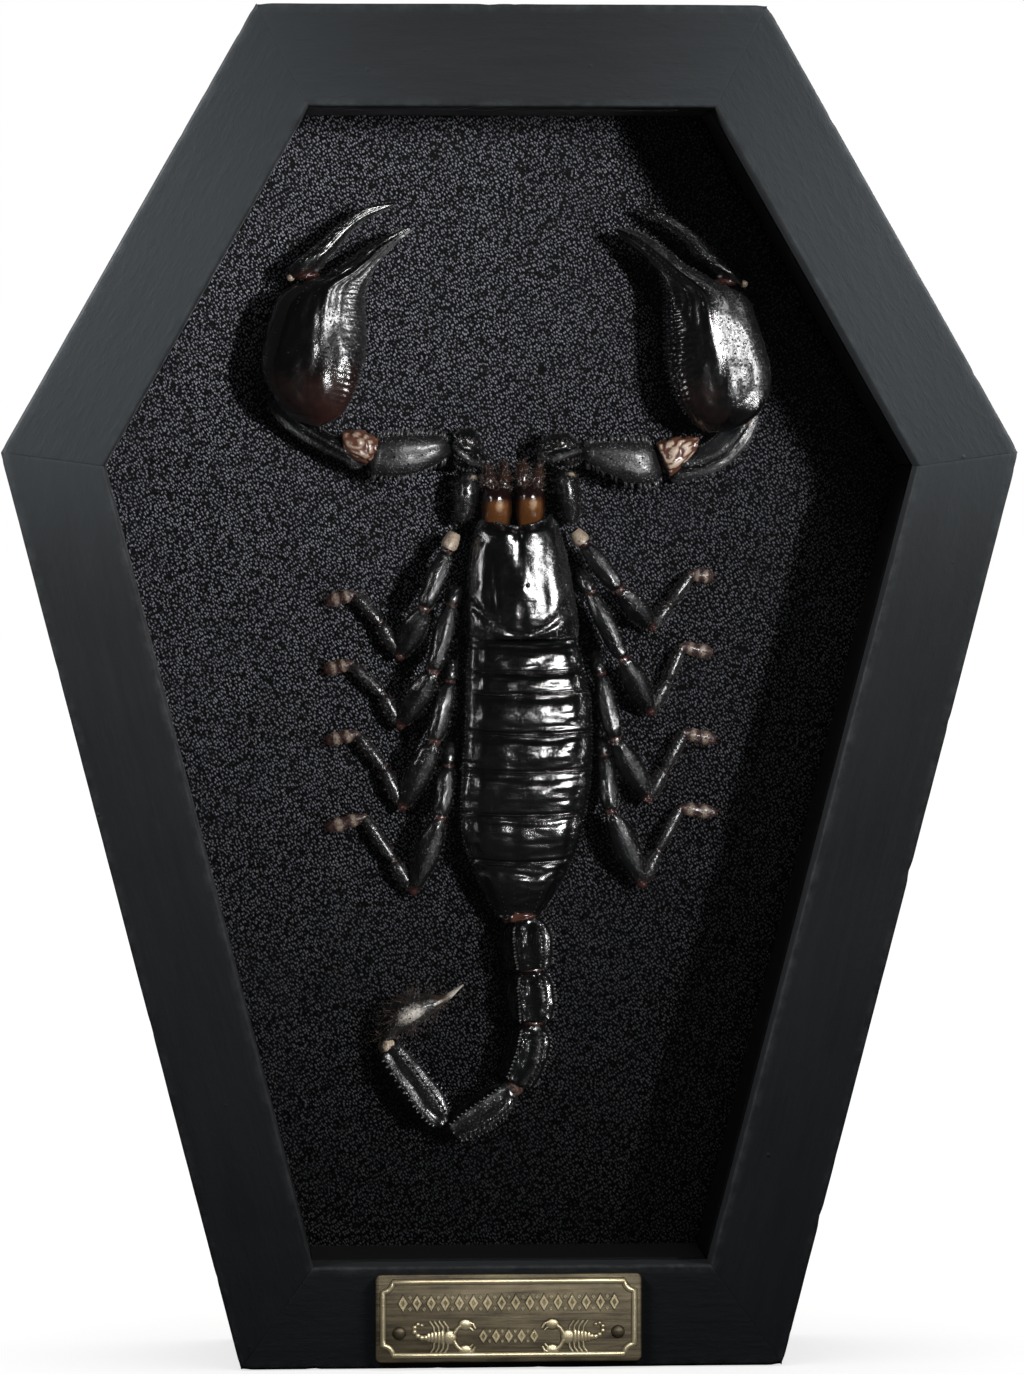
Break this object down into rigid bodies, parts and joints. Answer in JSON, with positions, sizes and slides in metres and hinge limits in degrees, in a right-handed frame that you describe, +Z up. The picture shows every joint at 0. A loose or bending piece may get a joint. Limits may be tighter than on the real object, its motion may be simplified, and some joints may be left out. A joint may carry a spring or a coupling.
{
  "type": "framed scorpion specimen",
  "caption": "Dried black scorpion with its legs and claws spread, fixed on black leatherette in a coffin-shaped shadow box with a brass nameplate.",
  "frame": {"origin": "centre of the base: the middle of the box's flat foot, halfway between the pins' heads and the frame's rear face", "axes": "+Z up along the box's height, the pane and the nameplate face -Y, +X to the viewer's right"},
  "size_m": [0.1528, 0.0336, 0.2048],
  "materials": {
    "painted_wood": "matte black paint",
    "spacer_strip": "matte black",
    "pane": "clear",
    "leatherette": "pebbled satin",
    "fibreboard": "raw hardboard",
    "tab_steel": "zinc plated",
    "hanger_brass": "satin",
    "plate_brass": "antiqued, rubbed on the high edges",
    "black_cuticle": "glossy",
    "amber_cuticle": "glossy",
    "telson_horn": "satin, hairy"
  },
  "bodies": {
    "root": {"frame_top": "painted_wood", "frame_upper_right": "painted_wood", "frame_lower_right": "painted_wood", "frame_foot": "painted_wood", "frame_lower_left": "painted_wood", "frame_upper_left": "painted_wood", "spacer_top": "spacer_strip", "spacer_upper_right": "spacer_strip", "spacer_lower_right": "spacer_strip", "spacer_foot": "spacer_strip", "spacer_lower_left": "spacer_strip", "spacer_upper_left": "spacer_strip", "clear_pane": "pane", "leatherette_board": "leatherette", "back_board": "fibreboard", "tab_top": "tab_steel", "tab_upper_right": "tab_steel", "tab_lower_right": "tab_steel", "tab_foot": "tab_steel", "tab_lower_left": "tab_steel", "tab_upper_left": "tab_steel", "sawtooth_hanger": "hanger_brass", "hanger_rivet_left": "hanger_brass", "hanger_rivet_right": "hanger_brass", "nameplate": "plate_brass", "plate_pin_left": "plate_brass", "plate_pin_right": "plate_brass", "carapace": "black_cuticle", "abdomen": "black_cuticle", "pedipalp_left_coxa": "black_cuticle", "pedipalp_left_trochanter": "black_cuticle", "pedipalp_left_femur": "black_cuticle", "pedipalp_left_patella": "black_cuticle", "pedipalp_left_hand": "black_cuticle", "pedipalp_left_finger": "black_cuticle", "leg_left_1": "black_cuticle", "leg_left_2": "black_cuticle", "leg_left_3": "black_cuticle", "leg_left_4": "black_cuticle", "pedipalp_right_coxa": "black_cuticle", "pedipalp_right_trochanter": "black_cuticle", "pedipalp_right_femur": "black_cuticle", "pedipalp_right_patella": "black_cuticle", "pedipalp_right_hand": "black_cuticle", "pedipalp_right_finger": "black_cuticle", "leg_right_1": "black_cuticle", "leg_right_2": "black_cuticle", "leg_right_3": "black_cuticle", "leg_right_4": "black_cuticle", "tail_segment_1": "black_cuticle", "tail_segment_2": "black_cuticle", "tail_segment_3": "black_cuticle", "tail_segment_4": "black_cuticle", "tail_segment_5": "black_cuticle", "chelicera_left": "amber_cuticle", "chelicera_right": "amber_cuticle", "telson": "telson_horn"}
  },
  "joints": []
}
